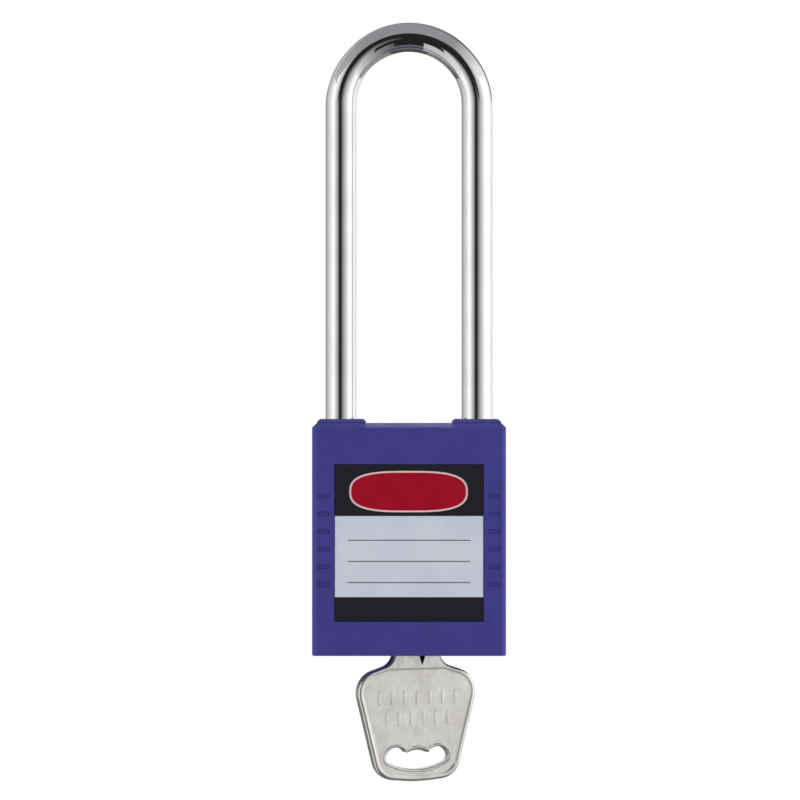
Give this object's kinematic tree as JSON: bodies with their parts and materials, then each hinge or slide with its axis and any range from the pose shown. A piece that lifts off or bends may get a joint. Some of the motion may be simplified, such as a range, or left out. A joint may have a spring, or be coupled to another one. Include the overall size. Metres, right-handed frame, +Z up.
{
  "type": "safety padlock",
  "caption": "Lockout padlock with a nylon body, a long steel shackle, a pin tumbler cylinder and a key that stays in the lock while it is open.",
  "frame": {"origin": "inside top of the shackle's bow, where the padlock hangs", "axes": "+X to the right seen from the front, +Y to the back, +Z up along the shackle"},
  "size_m": [0.0386, 0.02, 0.1531],
  "materials": {
    "blue_nylon": "moulded blue-violet nylon, fine satin grain",
    "label_film": "printed film label: silver-grey panel between black bands, a plain red oval, no words",
    "rear_label_film": "silver-grey write-on film with plain ruled lines",
    "chromed_steel": "bright chrome on hardened steel",
    "nickel_plate": "nickel-plated stamped key blank, soft sheen",
    "brass": "machined brass",
    "plain_steel": "plain bright steel",
    "zinc": "die-cast zinc alloy, grey",
    "zinc_plated_screw": "zinc-plated steel screw"
  },
  "bodies": {
    "lock_body": {"body_shell": "blue_nylon", "bottom_cover": "blue_nylon", "cover_screw_left": "zinc_plated_screw", "cover_screw_right": "zinc_plated_screw", "front_label": "label_film", "rear_label": "rear_label_film", "heel_pin": "plain_steel", "lock_case": "zinc", "lock_plate": "zinc", "cylinder_housing": "brass", "chamber_strip": "brass", "driver_pin_1": "brass", "driver_pin_2": "brass", "driver_pin_3": "brass", "driver_pin_4": "brass", "driver_pin_5": "brass", "driver_pin_6": "brass", "pin_spring_1": "plain_steel", "pin_spring_2": "plain_steel", "pin_spring_3": "plain_steel", "pin_spring_4": "plain_steel", "pin_spring_5": "plain_steel", "pin_spring_6": "plain_steel"},
    "shackle": {"shackle": "chromed_steel"},
    "plug": {"plug": "brass", "plug_clip": "plain_steel", "drive_pin": "plain_steel", "key_pin_1": "brass", "key_pin_2": "brass", "key_pin_3": "brass", "key_pin_4": "brass", "key_pin_5": "brass", "key_pin_6": "brass"},
    "locking_bolt": {"locking_bolt": "plain_steel"},
    "key": {"key": "nickel_plate"}
  },
  "joints": [
    {"name": "shackle_lift", "type": "slide", "parent": "lock_body", "child": "shackle", "axis": [0, 0, 1], "range_m": [0, 0.0165]},
    {"name": "plug_turn", "type": "hinge", "parent": "lock_body", "child": "plug", "pos_m": [0.00135, 0, -0.106], "axis": [0, 0, 1], "range_deg": [0, 160]},
    {"name": "bolt_slide", "type": "slide", "parent": "lock_body", "child": "locking_bolt", "axis": [-1, 0, 0], "range_m": [0, 0.0018]},
    {"name": "key_slide", "type": "slide", "parent": "plug", "child": "key", "axis": [0, 0, -1], "range_m": [0, 0.032]}
  ],
  "couplings": [
    {"joint": "bolt_slide", "follows": "plug_turn", "m_per_rad": 0.00064458}
  ]
}
